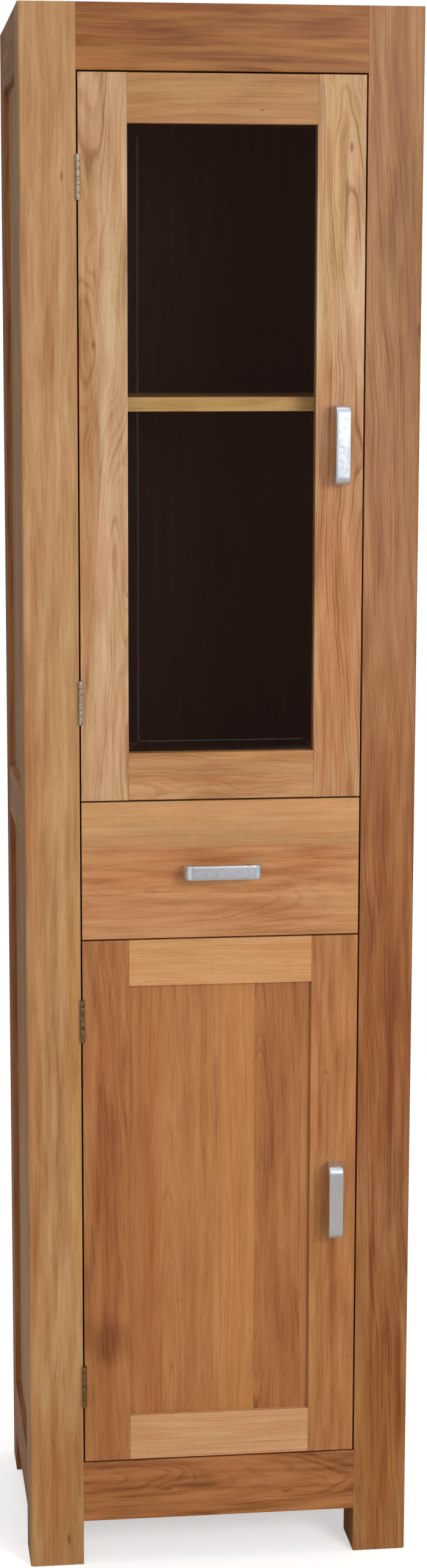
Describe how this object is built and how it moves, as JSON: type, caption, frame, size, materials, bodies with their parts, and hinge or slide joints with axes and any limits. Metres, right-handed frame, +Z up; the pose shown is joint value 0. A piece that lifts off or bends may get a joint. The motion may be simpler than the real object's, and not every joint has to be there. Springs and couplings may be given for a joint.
{
  "type": "pantry cabinet",
  "caption": "Tall narrow oak pantry cabinet on four legs, with a glazed door over a drawer over a panelled door, bow handles and butt hinges.",
  "frame": {"origin": "on the floor, under the middle of the cabinet's box, handles included", "axes": "+Z up; +X to the right seen from the front; +Y from the front to the back, so the doors and the drawer face -Y"},
  "size_m": [0.45, 0.378, 1.8],
  "materials": {
    "oak_honey": "satin lacquered oak, honey tan",
    "oak_red": "satin lacquered oak, reddish brown",
    "oak_brown": "satin lacquered oak, mid brown",
    "oak_pale": "satin lacquered oak, pale",
    "oak_mid": "satin lacquered oak, orange brown",
    "clear_glass": "clear polished, with a ground bevel",
    "satin_aluminium": "satin",
    "aged_nickel": "aged nickel plate",
    "zinc_steel": "zinc plate",
    "cream_plastic": "matte"
  },
  "bodies": {
    "carcass": {"front_left_leg": "oak_honey", "front_right_leg": "oak_red", "back_left_leg": "oak_brown", "back_right_leg": "oak_honey", "top_front_rail": "oak_red", "bottom_front_rail": "oak_brown", "back_top_rail": "oak_mid", "back_bottom_rail": "oak_mid", "left_top_rail": "oak_red", "left_mid_rail": "oak_mid", "left_bottom_rail": "oak_brown", "left_upper_panel": "oak_honey", "left_lower_panel": "oak_mid", "right_top_rail": "oak_mid", "right_mid_rail": "oak_brown", "right_bottom_rail": "oak_honey", "right_upper_panel": "oak_mid", "right_lower_panel": "oak_honey", "top_panel": "oak_mid", "back_panel": "oak_pale", "upper_floor": "oak_mid", "drawer_divider": "oak_honey", "bottom_panel": "oak_mid", "upper_shelf": "oak_pale", "lower_shelf": "oak_pale", "shelf_pins": "zinc_steel", "drawer_runners": "oak_mid", "runner_screws": "zinc_steel", "hinge_frame_leaves": "aged_nickel", "hinge_pins": "aged_nickel", "hinge_frame_screws": "aged_nickel", "catch_bodies": "cream_plastic"},
    "upper_door": {"upper_door_hinge_stile": "oak_pale", "upper_door_handle_stile": "oak_honey", "upper_door_top_rail": "oak_honey", "upper_door_bottom_rail": "oak_pale", "upper_door_handle": "satin_aluminium", "upper_door_handle_screws": "zinc_steel", "upper_door_hinge_leaves": "aged_nickel", "upper_door_hinge_screws": "aged_nickel", "glass_pane": "clear_glass", "glazing_beads": "oak_honey", "upper_catch_strike": "zinc_steel"},
    "lower_door": {"lower_door_hinge_stile": "oak_red", "lower_door_handle_stile": "oak_brown", "lower_door_top_rail": "oak_pale", "lower_door_bottom_rail": "oak_pale", "lower_door_panel": "oak_mid", "lower_door_handle": "satin_aluminium", "lower_door_handle_screws": "zinc_steel", "lower_door_hinge_leaves": "aged_nickel", "lower_door_hinge_screws": "aged_nickel", "lower_catch_strike": "zinc_steel"},
    "drawer": {"drawer_front": "oak_mid", "drawer_left_side": "oak_pale", "drawer_right_side": "oak_pale", "drawer_back": "oak_pale", "drawer_bottom": "oak_pale", "drawer_handle": "satin_aluminium", "drawer_handle_screws": "zinc_steel"}
  },
  "joints": [
    {"name": "upper_door_hinge", "type": "hinge", "parent": "carcass", "child": "upper_door", "pos_m": [-0.1602, -0.1639, 1.32325], "axis": [0, 0, -1], "range_deg": [0, 180]},
    {"name": "lower_door_hinge", "type": "hinge", "parent": "carcass", "child": "lower_door", "pos_m": [-0.1602, -0.1639, 0.44325], "axis": [0, 0, -1], "range_deg": [0, 180]},
    {"name": "drawer_slide", "type": "slide", "parent": "carcass", "child": "drawer", "axis": [0, -1, 0], "range_m": [0, 0.24]}
  ]
}
